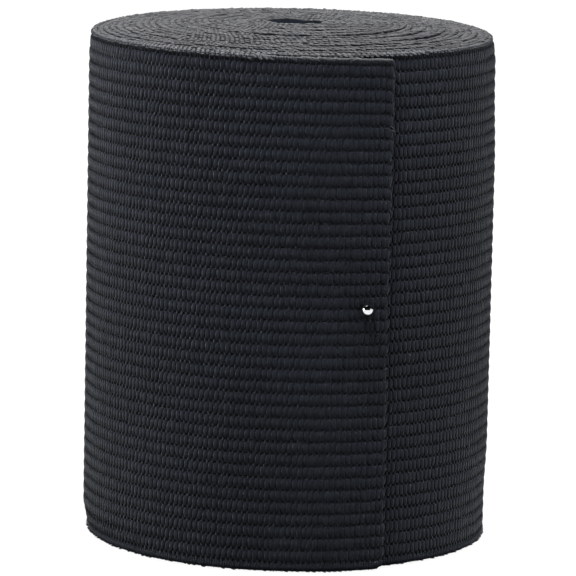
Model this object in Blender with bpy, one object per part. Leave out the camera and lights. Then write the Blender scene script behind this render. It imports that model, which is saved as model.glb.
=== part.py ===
"""A reel of wide ribbed elastic, wound flat on itself, its cut end held down by one ball-headed pin.

The roll stands on its lower edges with its winding axis along +Z. Angles run from the front (-Y) towards
the right (+X). A place on the strip is given in turns back from its cut end.
"""

import math
from collections import namedtuple

import bmesh
import bpy
from mathutils import Vector

# The strip of elastic, in metres
ELASTIC_WIDTH = 0.1016
STRIP_THICKNESS = 0.0014
RIB_COUNT = 41
RIB_PITCH = 0.002405
LOWER_SELVEDGE = 0.00209
GROOVE_DEPTH = 0.0003

# The roll
ROLL_RADIUS = 0.0410
CROWN_HEIGHT = 0.0022
CROWN_POWER = 2.2
LOWER_ROUND = 0.0010
UPPER_ROUND = 0.0006
REST_INNER_RADIUS = 0.0355
SLIT_HALF_LENGTH = 0.0041
SLIT_HALF_WIDTH = 0.00075
SLIT_SHIFT = 0.0012

# The cut end: it is lifted a little off the turn below, and the strip has slipped down on its way there
END_ANGLE = math.radians(27.1)
LIFTED_TURNS = 0.075
END_GAP_AT_PIN = 0.00015
END_GAP_AT_EDGES = 0.0006
END_GAP_POWER = 1.5
SLIPPED_TURNS = 0.22
END_SLIP = 0.0009
LOWER_EDGE_RISE = 0.00045
RISE_FADE_HEIGHT = 0.006

# Turns that stand apart on top, each with the angle at which its gap is widest
TurnGap = namedtuple("TurnGap", "radius_share depth middle_angle half_span")
TURN_GAPS = (
    TurnGap(0.57, 0.0012, math.radians(25), math.radians(85)),
    TurnGap(0.66, 0.0009, math.radians(52), math.radians(30)),
    TurnGap(0.79, 0.0012, math.radians(57), math.radians(35)),
)
TURN_GAP_WIDTH = 0.0008

# The pin
PIN_ANGLE = math.radians(20.9)
PIN_HEIGHT = 0.0520
PIN_HEAD_RADIUS = 0.0012
PIN_SHANK_RADIUS = 0.0003
PIN_LENGTH = 0.026
PIN_POINT_LENGTH = 0.002
PIN_HEAD_PROUD = 0.00055
PIN_CLEARANCE = 0.0003

# Mesh steps
COLUMNS = 40
COLUMNS_UNDER_END = 3
TOP_RING_SHARES = (0.14, 0.36, 0.90)
LOWER_RING_SHARES = (0.14, 0.36, 0.62)
HEAD_STEPS = 8
PIN_SIDES = 16
SHARP_ANGLE = math.radians(25)

# A row of points up the wall: its height, how deep it lies in a groove, and how far a rounded edge draws it in
Row = namedtuple("Row", "height groove inset")


def outward(angle):
    """Unit direction from the winding axis at this angle."""
    return Vector((math.sin(angle), -math.cos(angle), 0.0))


def angle_at(turns_back):
    return END_ANGLE - math.tau * turns_back


def spiral_radius(turns_back):
    """Radius of the strip's outer face, at the crests of its ribs."""
    return ROLL_RADIUS + STRIP_THICKNESS * (0.5 - turns_back)


def easing(turns, reach):
    """1 at the cut end, falling smoothly to 0 at the given reach."""
    return max(0.0, 1.0 - turns / reach) ** 2


def end_gap(turns_back, height):
    """Air under the lifted end, least at the pin and widest at the strip's two edges."""
    away_from_pin = abs(height - PIN_HEIGHT) / (ELASTIC_WIDTH / 2)
    widest = END_GAP_AT_PIN + (END_GAP_AT_EDGES - END_GAP_AT_PIN) * away_from_pin ** END_GAP_POWER
    return widest * max(0.0, 1.0 - turns_back / LIFTED_TURNS)


def crown(radius):
    """How far the turns at this radius stand above the rim."""
    return CROWN_HEIGHT * (1.0 - (radius / ROLL_RADIUS) ** CROWN_POWER)


def hollow(radius):
    """How far the turns at this radius are drawn up from the flat ring that the roll stands on."""
    return max(0.0, crown(radius) - crown(REST_INNER_RADIUS))


def wall_rows():
    """The rows up the wall: a rounded lower edge, a row in each groove and on each rib, a rounded upper edge."""
    corner = 1.0 - math.sqrt(0.5)
    rows = [
        Row(0.0, 0.0, LOWER_ROUND),
        Row(LOWER_ROUND * corner, 0.0, LOWER_ROUND * corner),
        Row(LOWER_ROUND, 0.0, 0.0),
    ]
    for rib in range(RIB_COUNT + 1):
        groove_height = LOWER_SELVEDGE + rib * RIB_PITCH
        rows.append(Row(groove_height, GROOVE_DEPTH, 0.0))
        if rib < RIB_COUNT:
            rows.append(Row(groove_height + RIB_PITCH / 2, 0.0, 0.0))
    rows.append(Row(ELASTIC_WIDTH - UPPER_ROUND, 0.0, 0.0))
    rows.append(Row(ELASTIC_WIDTH - UPPER_ROUND * corner, 0.0, UPPER_ROUND * corner))
    rows.append(Row(ELASTIC_WIDTH, 0.0, UPPER_ROUND))
    return rows


def column(turns_back, radii, heights):
    """One upright row of points at this place on the strip."""
    side = outward(angle_at(turns_back))
    return [side * radius + Vector((0.0, 0.0, height)) for radius, height in zip(radii, heights)]


def end_heights(rows, turns_back):
    """Heights on the outer turn: slipped down near its cut end, and drawn up off the surface a turn earlier."""
    slip = END_SLIP * easing(turns_back, SLIPPED_TURNS)
    rise = LOWER_EDGE_RISE * easing(1.0 - turns_back, SLIPPED_TURNS)
    heights = []
    for row in rows:
        slipped = row.height * (1.0 - slip / ELASTIC_WIDTH)
        heights.append(slipped + rise * max(0.0, 1.0 - row.height / RISE_FADE_HEIGHT))
    return heights


def exposed_column(rows, turns_back):
    """A column of the outer, ribbed face."""
    radii = []
    for row in rows:
        lifted = spiral_radius(turns_back) + end_gap(turns_back, row.height)
        radii.append(lifted - row.groove - row.inset)
    return column(turns_back, radii, end_heights(rows, turns_back))


def covered_column(rows, turns_back):
    """A column of the turn below, where the cut end covers it."""
    radii = [spiral_radius(turns_back)] * len(rows)
    heights = end_heights(rows, 1.0)
    return column(turns_back, radii, heights)


def back_column(rows, turns_back):
    """A column of the back of the lifted end."""
    radii = []
    for row in rows:
        lifted = spiral_radius(turns_back) + end_gap(turns_back, row.height)
        radii.append(lifted - STRIP_THICKNESS)
    return column(turns_back, radii, end_heights(rows, turns_back))


def plan_columns(rows):
    """All columns round the roll: the exposed turn, the turn under the cut end, and the back of that end."""
    step = 1.0 / COLUMNS
    exposed = [exposed_column(rows, index * step) for index in range(COLUMNS + 1)]
    covered = [covered_column(rows, 1.0 + index * step) for index in range(1, COLUMNS_UNDER_END + 1)]
    back = [back_column(rows, index * step) for index in range(COLUMNS_UNDER_END - 1, -1, -1)]
    return exposed, covered, back


def winding_axis(exposed):
    """Where the winding axis stands, so that the roll's box is centred on the origin."""
    points = [point for one_column in exposed for point in one_column]
    middle_x = (min(point.x for point in points) + max(point.x for point in points)) / 2
    middle_y = (min(point.y for point in points) + max(point.y for point in points)) / 2
    return Vector((-middle_x, -middle_y, 0.0))


def slit_point(angle):
    """A point of the narrow slit that the innermost fold of the strip leaves."""
    return Vector((SLIT_SHIFT + SLIT_HALF_LENGTH * math.sin(angle), -SLIT_HALF_WIDTH * math.cos(angle), 0.0))


def ring(bm, angles, radius, height_at):
    """A closed ring of points on the top or the underside, from the slit at radius 0 out towards the rim."""
    points = []
    for angle in angles:
        place = slit_point(angle) * (1.0 - radius / ROLL_RADIUS) + outward(angle) * radius
        place.z = height_at(angle)
        points.append(bm.verts.new(place))
    return points


def gap_depth(gap, angle):
    """Depth of the gap between two turns at this angle, 0 away from its middle."""
    away = math.remainder(angle - gap.middle_angle, math.tau) / gap.half_span
    return gap.depth * max(0.0, 1.0 - away * away)


def top_rings(bm, angles):
    """Rings of the domed top, outermost first, with a furrow where turns stand apart."""
    sections = [(share * ROLL_RADIUS, None) for share in TOP_RING_SHARES]
    for gap in TURN_GAPS:
        radius = gap.radius_share * ROLL_RADIUS
        sections.append((radius - TURN_GAP_WIDTH / 2, None))
        sections.append((radius, gap))
        sections.append((radius + TURN_GAP_WIDTH / 2, None))
    sections.append((0.0, None))
    rings = []
    for radius, gap in sorted(sections, key=lambda section: -section[0]):
        level = ELASTIC_WIDTH + crown(radius)
        if gap is None:
            rings.append(ring(bm, angles, radius, lambda angle: level))
        else:
            rings.append(ring(bm, angles, radius, lambda angle: level - gap_depth(gap, angle)))
    return rings


def lower_rings(bm, angles):
    """Rings of the underside, outermost first: flat where the roll stands, hollow inside."""
    radii = [REST_INNER_RADIUS] + [share * ROLL_RADIUS for share in LOWER_RING_SHARES] + [0.0]
    rings = []
    for radius in sorted(radii, reverse=True):
        level = hollow(radius)
        rings.append(ring(bm, angles, radius, lambda angle: level))
    return rings


def join_loops(bm, outer, inner):
    """Faces between two closed loops that have the same number of points."""
    for index in range(len(outer)):
        after = (index + 1) % len(outer)
        bm.faces.new((outer[index], outer[after], inner[after], inner[index]))


def cap(bm, exposed, covered, back, rings):
    """One end of the roll: the lifted stretch, the rim, and the rings in towards the slit.

    The rim has one point more than the rings, because the strip's thickness shows at the root of the lifted end.
    """
    root = covered[-1]
    lifted_back = back[::-1] + [root]
    for index in range(COLUMNS_UNDER_END):
        bm.faces.new((exposed[index], exposed[index + 1], lifted_back[index + 1], lifted_back[index]))
    rim = exposed[COLUMNS_UNDER_END:] + covered
    first = rings[0]
    bm.faces.new((rim[0], rim[1], root))
    bm.faces.new((root, rim[1], first[1], first[0]))
    for index in range(1, COLUMNS):
        after = (index + 1) % COLUMNS
        bm.faces.new((rim[index], rim[index + 1], first[after], first[index]))
    for outer, inner in zip(rings, rings[1:]):
        join_loops(bm, outer, inner)


def mesh_object(bm, name):
    """A smooth object with this mesh, all faces turned outwards."""
    bmesh.ops.recalc_face_normals(bm, faces=bm.faces)
    mesh = bpy.data.meshes.new(name)
    bm.to_mesh(mesh)
    bm.free()
    mesh.shade_smooth()
    mesh.set_sharp_from_angle(angle=SHARP_ANGLE)
    thing = bpy.data.objects.new(name, mesh)
    bpy.context.scene.collection.objects.link(thing)
    return thing


def make_roll():
    """The wound strip as one solid."""
    rows = wall_rows()
    exposed, covered, back = plan_columns(rows)
    axis = winding_axis(exposed)
    bm = bmesh.new()
    columns = [[bm.verts.new(point) for point in one_column] for one_column in exposed + covered + back]
    for index in range(len(columns)):
        here = columns[index]
        after = columns[(index + 1) % len(columns)]
        for row in range(len(rows) - 1):
            bm.faces.new((here[row], after[row], after[row + 1], here[row + 1]))
    split_one = len(exposed)
    split_two = split_one + len(covered)
    step = 1.0 / COLUMNS
    angles = [angle_at((COLUMNS_UNDER_END + index) * step) for index in range(COLUMNS)]
    slits = []
    for end, rings in ((-1, top_rings(bm, angles)), (0, lower_rings(bm, angles))):
        edge = [one_column[end] for one_column in columns]
        cap(bm, edge[:split_one], edge[split_one:split_two], edge[split_two:], rings)
        slits.append(rings[-1])
    join_loops(bm, slits[0], slits[1])
    roll = mesh_object(bm, "elastic_roll")
    roll.location = axis
    return roll


def lathe(name, profile):
    """A solid turned round its own Z axis from a profile of (radius, height) pairs that ends on the axis."""
    bm = bmesh.new()
    verts = [bm.verts.new((radius, 0.0, height)) for radius, height in profile]
    edges = [bm.edges.new(pair) for pair in zip(verts, verts[1:])]
    bmesh.ops.spin(
        bm,
        geom=verts + edges,
        cent=(0.0, 0.0, 0.0),
        axis=(0.0, 0.0, 1.0),
        angle=math.tau,
        steps=PIN_SIDES,
        use_merge=True,
    )
    bmesh.ops.remove_doubles(bm, verts=bm.verts, dist=1e-7)
    return mesh_object(bm, name)


def pin_profile(clearance):
    """Outline of the pin, or of its hole with some clearance: the ball head at the origin, the shank along -Z."""
    head = PIN_HEAD_RADIUS + clearance
    shank = PIN_SHANK_RADIUS + clearance
    last = math.pi - math.asin(shank / head)
    profile = []
    for index in range(HEAD_STEPS + 1):
        turned = last * index / HEAD_STEPS
        profile.append((head * math.sin(turned), head * math.cos(turned)))
    profile.append((shank, -PIN_LENGTH + PIN_POINT_LENGTH))
    profile.append((0.0, -PIN_LENGTH - clearance))
    return profile


def place_pin(thing, axis):
    """Sets the head against the wall with the shank pointing at the winding axis."""
    turns_back = (END_ANGLE - PIN_ANGLE) / math.tau
    wall = spiral_radius(turns_back) + end_gap(turns_back, PIN_HEIGHT)
    side = outward(PIN_ANGLE)
    thing.rotation_euler = side.to_track_quat("Z", "Y").to_euler()
    thing.location = axis + side * (wall + PIN_HEAD_PROUD) + Vector((0.0, 0.0, PIN_HEIGHT))


def cut_hole(roll, axis):
    """Sinks the pin's dimple and hole into the roll."""
    cutter = lathe("pin_hole_shape", pin_profile(PIN_CLEARANCE))
    cutter.display_type = "WIRE"
    cutter.hide_render = True
    place_pin(cutter, axis)
    hole = roll.modifiers.new("pin hole", "BOOLEAN")
    hole.operation = "DIFFERENCE"
    hole.solver = "EXACT"
    hole.object = cutter


def give_material(thing, name, colour, roughness, metallic):
    material = bpy.data.materials.new(name)
    material.use_nodes = True
    shader = material.node_tree.nodes["Principled BSDF"]
    shader.inputs["Base Color"].default_value = (*colour, 1.0)
    shader.inputs["Roughness"].default_value = roughness
    shader.inputs["Metallic"].default_value = metallic
    material.diffuse_color = (*colour, 1.0)
    thing.data.materials.append(material)


def main():
    for thing in list(bpy.data.objects):
        bpy.data.objects.remove(thing, do_unlink=True)
    roll = make_roll()
    axis = roll.location.copy()
    cut_hole(roll, axis)
    pin = lathe("pin", pin_profile(0.0))
    place_pin(pin, axis)
    give_material(roll, "black elastic", (0.030, 0.032, 0.038), 0.85, 0.0)
    give_material(pin, "polished steel", (0.72, 0.72, 0.74), 0.18, 1.0)


main()
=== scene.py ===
"""A reel of wide ribbed elastic, its cut end held down by a ball-headed pin.

The strip is modelled as it is wound, turn on turn, and its yarns are laid over it one by one.
Angles run from the front (-Y) towards the right (+X). A place on the strip is given in turns back from its
cut end.
"""

import math
from collections import namedtuple

import bpy
import numpy as np
from mathutils import Matrix, Vector


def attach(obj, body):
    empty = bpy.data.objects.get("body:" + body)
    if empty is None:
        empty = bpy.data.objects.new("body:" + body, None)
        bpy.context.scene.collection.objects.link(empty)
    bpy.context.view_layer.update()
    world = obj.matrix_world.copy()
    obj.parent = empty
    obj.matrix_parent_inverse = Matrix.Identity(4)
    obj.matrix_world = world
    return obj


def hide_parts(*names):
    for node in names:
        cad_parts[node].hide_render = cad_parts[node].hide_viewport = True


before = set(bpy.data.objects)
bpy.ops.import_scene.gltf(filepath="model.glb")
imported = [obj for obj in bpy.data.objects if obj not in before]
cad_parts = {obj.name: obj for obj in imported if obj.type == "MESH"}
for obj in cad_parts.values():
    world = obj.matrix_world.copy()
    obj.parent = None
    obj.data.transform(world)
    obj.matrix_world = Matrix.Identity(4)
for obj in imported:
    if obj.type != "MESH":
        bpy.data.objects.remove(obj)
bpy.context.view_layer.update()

# The strip of elastic, in metres
ELASTIC_WIDTH = 0.1016
STRIP_THICKNESS = 0.0014
CLOTH_THICKNESS = 0.00128
RIB_COUNT = 41
RIB_PITCH = 0.002405
LOWER_SELVEDGE = 0.00189
GROOVE_DEPTH = 0.0003
GROOVE_SHARPNESS = 2.2
YARN_PROUD = 0.0001

# The roll
ROLL_RADIUS = 0.0410
TURNS = 28.0
CROWN_HEIGHT = 0.0022
CROWN_POWER = 2.2
REST_INNER_RADIUS = 0.0355
SLIT_HALF_LENGTH = 0.0037
SLIT_HALF_WIDTH = 0.0017
SLIT_TURN = math.radians(-14)
SLIT_SQUARENESS = 0.6
SLIT_SHIFT = 0.0003
SLIT_FORWARD = 0.0019
SLIT_REACH = 0.0388
INNERMOST_SINK = 0.001
INNERMOST_TURNS = (TURNS - 1.1, TURNS - 0.5)

# How uneven the winding is: slow waves along the strip, in waves a turn, each with its own seed
Waves = namedtuple("Waves", "rates seed")
UNEVEN_TOP = 0.00009
TOP_WAVES = Waves((0.63, 1.37, 2.11, 3.7, 6.3), 5)
FOOT_WAVES = Waves((0.71, 1.9, 3.3), 6)
UNEVEN_RADIUS = 0.00003
RADIUS_WAVES = Waves((1.7, 2.9, 4.3), 11)

# The cut end: lifted a little off the turn below, and slipped down on its way there
END_ANGLE = math.radians(27.1)
LIFTED_TURNS = 0.075
END_GAP_AT_PIN = 0.00015
END_GAP_AT_EDGES = 0.0006
END_GAP_POWER = 1.5
SLIPPED_TURNS = 0.22
END_SLIP = 0.0009
LOWER_EDGE_RISE = 0.00012
RISE_FADE_HEIGHT = 0.006

# Turns that stand apart on top, each with the angle at which its gap is widest
TurnGap = namedtuple("TurnGap", "radius_share opening furrow middle_angle half_span")
TURN_GAPS = (
    TurnGap(0.565, 0.0006, 0.0002, math.radians(18), math.radians(84)),
    TurnGap(0.65, 0.0005, 0.0001, math.radians(61), math.radians(17)),
    TurnGap(0.785, 0.0006, 0.0002, math.radians(60), math.radians(22)),
)
GAP_REACH_TURNS = 5.0

# How the outer turn departs from a true round
BULGE = 0.00042
BULGE_HEIGHTS = (0.008, 0.020, 0.076, 0.093)
DRAWN_IN_TOP = 0.0009
DRAWN_IN_TOP_FROM = 0.0955
DRAWN_IN_FOOT = 0.0008
DRAWN_IN_FOOT_HEIGHTS = (0.0012, 0.0058)
LEFT_SWELL = 0.00014
LEFT_RIM_SHARE = 0.6
OUTERMOST_TURNS = (1.1, 2.6)
RIM_SINK = 0.0003
RIM_SINK_TURNS = (1.0, 2.5)
RIB_SAG = 0.0003
RIB_SAG_FROM = (0.45, 0.85)
RIB_SAG_TO = (1.05, 1.5)
CORNER_RISE = 0.0007
CORNER_DROP = 0.0004
CORNER_TURNS = 0.0065
CUT_WOBBLE = 0.00016
CUT_WAVES = Waves((7.3, 17.1, 31.7), 13)
SETTLED = 0.00018
FLOOR_HEIGHT = -0.0004

# The pin
PIN_ANGLE = math.radians(20.9)
PIN_HEIGHT = 0.0520
PIN_HEAD_RADIUS = 0.0012
PIN_SHANK_RADIUS = 0.0003
PIN_LENGTH = 0.026
PIN_POINT_LENGTH = 0.002
PIN_HEAD_PROUD = 0.00055
DIMPLE_DEPTH = 0.00055
DIMPLE_REACH = 0.0011

# The yarns
STITCHES_ROUND = 247
SELVEDGE_LOOP_PITCH = 0.00104

# Camera, worked out from the outline in the photograph
CAMERA_PLACE = Vector((0.0, -0.90199, 0.20572))
CAMERA_PITCH = math.radians(9.849)
CAMERA_ROLL = math.radians(1.188)
CAMERA_LENS = 282.17
SENSOR_WIDTH = 36.0


def outward(angle):
    """Directions from the winding axis at these angles."""
    return np.stack([np.sin(angle), -np.cos(angle), np.zeros_like(angle)], axis=-1)


def angle_at(turns):
    return END_ANGLE - math.tau * turns


def smooth_step(value, low, high):
    """0 below the low value, 1 above the high one, and smooth between them."""
    share = np.clip((value - low) / (high - low), 0.0, 1.0)
    return share * share * (3.0 - 2.0 * share)


def easing(turns, reach):
    """1 at the cut end, falling smoothly to 0 at the given reach."""
    return np.maximum(0.0, 1.0 - turns / reach) ** 2


def waves(along, pattern):
    """A smooth unevenness along the strip, between about -1 and 1."""
    draws = np.random.default_rng(pattern.seed)
    total = np.zeros_like(along)
    for rate in pattern.rates:
        total = total + np.sin(math.tau * (rate * along + draws.random())) / math.sqrt(len(pattern.rates))
    return total


def crown(radius):
    """How far the turns at this radius stand above the rim."""
    return CROWN_HEIGHT * (1.0 - np.clip(radius / ROLL_RADIUS, 0.0, 1.0) ** CROWN_POWER)


def wound_radius(turns):
    """Distance of the strip's outer face from the winding axis, with all turns evenly laid."""
    outer_turns = 1.0 + LIFTED_TURNS
    outer = ROLL_RADIUS + STRIP_THICKNESS * (0.5 - turns)
    start = ROLL_RADIUS + STRIP_THICKNESS * (0.5 - outer_turns)
    inner_step = (start - CLOTH_THICKNESS) / (TURNS - outer_turns)
    inner = start - inner_step * (turns - outer_turns)
    return np.where(turns < outer_turns, outer, inner)


def gap_share(gap, turns):
    """How wide open the gap is beside each place, and how many turns the place is out (-) or in (+) of it."""
    middle = (END_ANGLE - gap.middle_angle) / math.tau
    steps = np.arange(TURNS) + middle
    nearest = steps[np.argmin(np.abs(wound_radius(steps) - gap.radius_share * ROLL_RADIUS))]
    along = turns - nearest
    turn = np.round(along)
    away = (along - turn) * math.tau / gap.half_span
    return np.maximum(0.0, 1.0 - away * away), turn - 0.5


def turn_shift(turns):
    """How far the turns are pushed out or in where they stand apart."""
    shift = UNEVEN_RADIUS * waves(turns, RADIUS_WAVES) * smooth_step(turns, 1.1, 2.0)
    for gap in TURN_GAPS:
        opening, side = gap_share(gap, turns)
        fading = np.exp((0.5 - np.abs(side)) / GAP_REACH_TURNS)
        shift = shift - np.sign(side) * gap.opening / 2 * opening * fading
    return shift


def furrow(turns):
    """How far the two edges beside a gap have sunk."""
    total = np.zeros_like(turns)
    for gap in TURN_GAPS:
        opening, side = gap_share(gap, turns)
        total = total + gap.furrow * opening * (np.abs(side) < 1.0)
    return total


def top_rise(turns):
    """How far the top edge of the strip stands above its own width."""
    crowned = crown(wound_radius(turns)) * smooth_step(turns, 0.9, 1.3)
    uneven = UNEVEN_TOP * waves(turns, TOP_WAVES) * smooth_step(turns, 1.0, 4.0)
    at_sides = np.abs(np.sin(angle_at(turns))) ** 6
    crowned = crowned - RIM_SINK * at_sides * (1.0 - smooth_step(turns, *RIM_SINK_TURNS))
    sunk = furrow(turns) + INNERMOST_SINK * smooth_step(turns, *INNERMOST_TURNS)
    slipped = END_SLIP * easing(turns, SLIPPED_TURNS) + CORNER_DROP * easing(turns, CORNER_TURNS)
    return crowned + uneven - sunk - slipped


def lower_rise(turns):
    """How far the lower edge of the strip is drawn up off the surface."""
    inner = crown(wound_radius(turns)) - crown(REST_INNER_RADIUS)
    uneven = UNEVEN_TOP * (1.0 + waves(turns, FOOT_WAVES)) * smooth_step(turns, 3.0, 5.0)
    beside_end = LOWER_EDGE_RISE * easing(np.abs(1.0 - turns), SLIPPED_TURNS)
    corner = CORNER_RISE * easing(turns, CORNER_TURNS)
    settled = SETTLED * (1.0 - smooth_step(turns, *OUTERMOST_TURNS))
    return np.maximum(0.0, inner) + uneven + beside_end + corner - settled


def end_gap(turns, height):
    """Air under the lifted end, least at the pin and widest at the strip's two edges."""
    away_from_pin = np.abs(height - PIN_HEIGHT) / (ELASTIC_WIDTH / 2)
    widest = END_GAP_AT_PIN + (END_GAP_AT_EDGES - END_GAP_AT_PIN) * away_from_pin ** END_GAP_POWER
    return widest * np.maximum(0.0, 1.0 - turns / LIFTED_TURNS)


def dimple(turns, height):
    """How deep the pin's head has pressed the cloth in."""
    sideways = np.remainder(angle_at(turns) - PIN_ANGLE + math.pi, math.tau) - math.pi
    distance_squared = (sideways * ROLL_RADIUS) ** 2 + (height - PIN_HEIGHT) ** 2
    fading = np.exp(-distance_squared / DIMPLE_REACH ** 2)
    return DIMPLE_DEPTH * fading * smooth_step(-turns, -2.5, -1.5)


def side_swell(turns, height):
    """How far the outer turns stand out: fuller on the right, drawn in at the rim and at the left foot."""
    angle = angle_at(turns)
    to_right = np.maximum(0.0, np.sin(angle)) ** 4
    to_left = np.maximum(0.0, -np.sin(angle)) ** 2
    low, full_from, full_to, high = BULGE_HEIGHTS
    bulge = BULGE * smooth_step(height, low, full_from) * (1.0 - smooth_step(height, full_to, high))
    up_to_rim = (height - DRAWN_IN_TOP_FROM) / (ELASTIC_WIDTH - DRAWN_IN_TOP_FROM)
    rim = DRAWN_IN_TOP * np.clip(up_to_rim, 0.0, 1.0) ** 2
    foot = DRAWN_IN_FOOT * (1.0 - smooth_step(height, *DRAWN_IN_FOOT_HEIGHTS)) * to_left
    outermost = 1.0 - smooth_step(turns, *OUTERMOST_TURNS)
    drawn_in_left = LEFT_RIM_SHARE * rim + foot - LEFT_SWELL
    return ((bulge - rim) * to_right - drawn_in_left * to_left) * outermost


def rib_sag(turns, height):
    """How far the ribs hang down on the right, where the strip has slid a little on its way round."""
    slid = smooth_step(turns, *RIB_SAG_FROM) * (1.0 - smooth_step(turns, *RIB_SAG_TO))
    return RIB_SAG * slid * np.sin(math.pi * np.clip(height / ELASTIC_WIDTH, 0.0, 1.0)) ** 0.7


def rib_depth(height):
    """How far the cloth lies below the crests of the ribs at this height."""
    along = (height - LOWER_SELVEDGE) / RIB_PITCH
    nearest = np.clip(np.round(along), 0, RIB_COUNT)
    from_groove = np.minimum(np.abs(along - nearest), 0.5)
    return GROOVE_DEPTH * (1.0 - 2.0 * from_groove) ** GROOVE_SHARPNESS


SOLID_COLUMNS = 40


def winding_axis():
    """Where the winding axis stands, so that the solid's box is centred on the origin."""
    turns = np.linspace(0.0, 1.0, SOLID_COLUMNS + 1)
    rim = outward(angle_at(turns)) * wound_radius(turns)[:, None]
    rim[0] *= 1.0 + END_GAP_AT_EDGES / ROLL_RADIUS
    return -(rim.max(axis=0) + rim.min(axis=0)) / 2


AXIS = winding_axis()


def slit_shape(angle):
    """The flattened curve, round the slit in the middle, that the innermost turns follow."""
    along = SLIT_HALF_LENGTH * np.sin(angle)
    across = -SLIT_HALF_WIDTH * np.sign(np.cos(angle)) * np.abs(np.cos(angle)) ** SLIT_SQUARENESS
    sideways = SLIT_SHIFT + along * math.cos(SLIT_TURN) - across * math.sin(SLIT_TURN)
    backwards = along * math.sin(SLIT_TURN) + across * math.cos(SLIT_TURN)
    return np.stack([sideways, backwards - SLIT_FORWARD, np.zeros_like(angle)], axis=-1)


def strip_places(turns, height, depth):
    """Points of the wound strip, a given depth below its outer face at a given height on its width."""
    given = (np.asarray(part, dtype=float) for part in (turns, height, depth))
    turns, height, depth = np.broadcast_arrays(*given)
    radius = wound_radius(turns) + turn_shift(turns) + end_gap(turns, height) + side_swell(turns, height)
    radius = radius - dimple(turns, height) - depth
    wobble = CUT_WOBBLE * waves(height / ELASTIC_WIDTH, CUT_WAVES) * easing(turns, CORNER_TURNS * 2)
    angle = angle_at(turns) + wobble / ROLL_RADIUS
    near_slit = np.clip(1.0 - radius / SLIT_REACH, 0.0, 1.0)
    places = slit_shape(angle) * near_slit[..., None] + outward(angle) * radius[..., None] + AXIS
    fading = np.maximum(0.0, 1.0 - height / RISE_FADE_HEIGHT)
    places[..., 2] = height * (1.0 + top_rise(turns) / ELASTIC_WIDTH) + lower_rise(turns) * fading
    places[..., 2] -= rib_sag(turns, height)
    return places


# The strip itself: rows of points round its cross-section, and columns along its length
EDGE_ROUND = ((0.02, 0.00019), (0.15, 0.00005), (0.5, 0.0), (0.85, 0.00005), (0.98, 0.00019))
BACK_SHARES = (0.85, 0.68, 0.5, 0.32, 0.15)
TOP_EDGE_FROM = ELASTIC_WIDTH - 0.0006
RIB_STEPS = (0.0, 0.14, 0.5, 0.86)
COLUMNS_ROUND = 126
PLAIN_COLUMNS_ROUND = 90
SEAM = 1.0 + LIFTED_TURNS + 0.012
RIBS_FADE_FROM = 1.0 + 0.3 * LIFTED_TURNS
PIN_COLUMN_STEP = 0.0004
PIN_COLUMNS_EACH_SIDE = 7
CUT_COLUMNS = 6
STRIP_SHARP_ANGLE = math.radians(62)


def edge_points(at_top, outside_first):
    """Height and depth of the points round one selvedge."""
    points = []
    for share, inset in EDGE_ROUND:
        height = ELASTIC_WIDTH - YARN_PROUD - inset if at_top else YARN_PROUD + inset
        points.append((height, YARN_PROUD + share * (CLOTH_THICKNESS - YARN_PROUD)))
    return points if outside_first else points[::-1]


def ribbed_section():
    """The strip's section with its ribs: height and depth of its points, up the outside, down the inside."""
    points = edge_points(at_top=False, outside_first=False)
    points.append((LOWER_SELVEDGE / 2, YARN_PROUD))
    for rib in range(RIB_COUNT + 1):
        for step in RIB_STEPS if rib < RIB_COUNT else (0.0,):
            height = LOWER_SELVEDGE + (rib + step) * RIB_PITCH
            points.append((height, YARN_PROUD + float(rib_depth(np.array(height)))))
    points += edge_points(at_top=True, outside_first=True)
    for share in BACK_SHARES:
        points.append((share * ELASTIC_WIDTH, CLOTH_THICKNESS))
    return np.array(points)


def plain_rows(section):
    """Which rows of the ribbed section the covered turns keep: the selvedges, and one row amid each face."""
    edge = len(EDGE_ROUND)
    first_back = len(section) - len(BACK_SHARES)
    middle_crest = edge + 1 + (RIB_COUNT // 2) * len(RIB_STEPS) + len(RIB_STEPS) // 2
    rows = list(range(edge)) + [middle_crest]
    rows += list(range(first_back - edge, first_back)) + [first_back + len(BACK_SHARES) // 2]
    return rows


def ribbed_columns():
    """Places along the outer turn at which the ribbed section is drawn, closer together round the pin."""
    even = np.arange(0, math.ceil(SEAM * COLUMNS_ROUND)) / COLUMNS_ROUND
    at_pin = (END_ANGLE - PIN_ANGLE) / math.tau
    spread = np.arange(-PIN_COLUMNS_EACH_SIDE, PIN_COLUMNS_EACH_SIDE + 1) * PIN_COLUMN_STEP
    close = at_pin + spread / (math.tau * ROLL_RADIUS)
    clear = 0.5 * PIN_COLUMN_STEP / (math.tau * ROLL_RADIUS)
    even = even[(even < close[0] - clear) | (even > close[-1] + clear)]
    at_cut = np.linspace(0.0, CORNER_TURNS, CUT_COLUMNS)[1:]
    return np.sort(np.concatenate([even[even < SEAM], close, at_cut, [SEAM]]))


def ribbed_points(section, turns):
    """Points of the ribbed stretch, its ribs fading out where the next turn covers it."""
    fading = 1.0 - smooth_step(turns, RIBS_FADE_FROM, SEAM)
    on_outside = section[:, 1] < CLOTH_THICKNESS / 2
    below_crest = np.where(on_outside, section[:, 1] - YARN_PROUD, 0.0)
    below_crest[: len(EDGE_ROUND)] = 0.0
    depth = section[None, :, 1] - below_crest[None, :] * (1.0 - fading[:, None])
    return strip_places(turns[:, None], section[None, :, 0], depth)


def stretch_faces(first, columns, heights):
    """The points' numbers in a stretch's columns, the faces between them, and which lie on the top edge."""
    grid = first + np.arange(columns * len(heights)).reshape(columns, len(heights))
    after = np.roll(grid, -1, axis=1)
    faces = np.stack([grid[:-1], grid[1:], after[1:], after[:-1]], axis=-1).reshape(-1, 4).tolist()
    middles = (heights + np.roll(heights, -1)) / 2
    on_top = np.tile(middles > TOP_EDGE_FROM, columns - 1).tolist()
    return grid, faces, on_top


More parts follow.
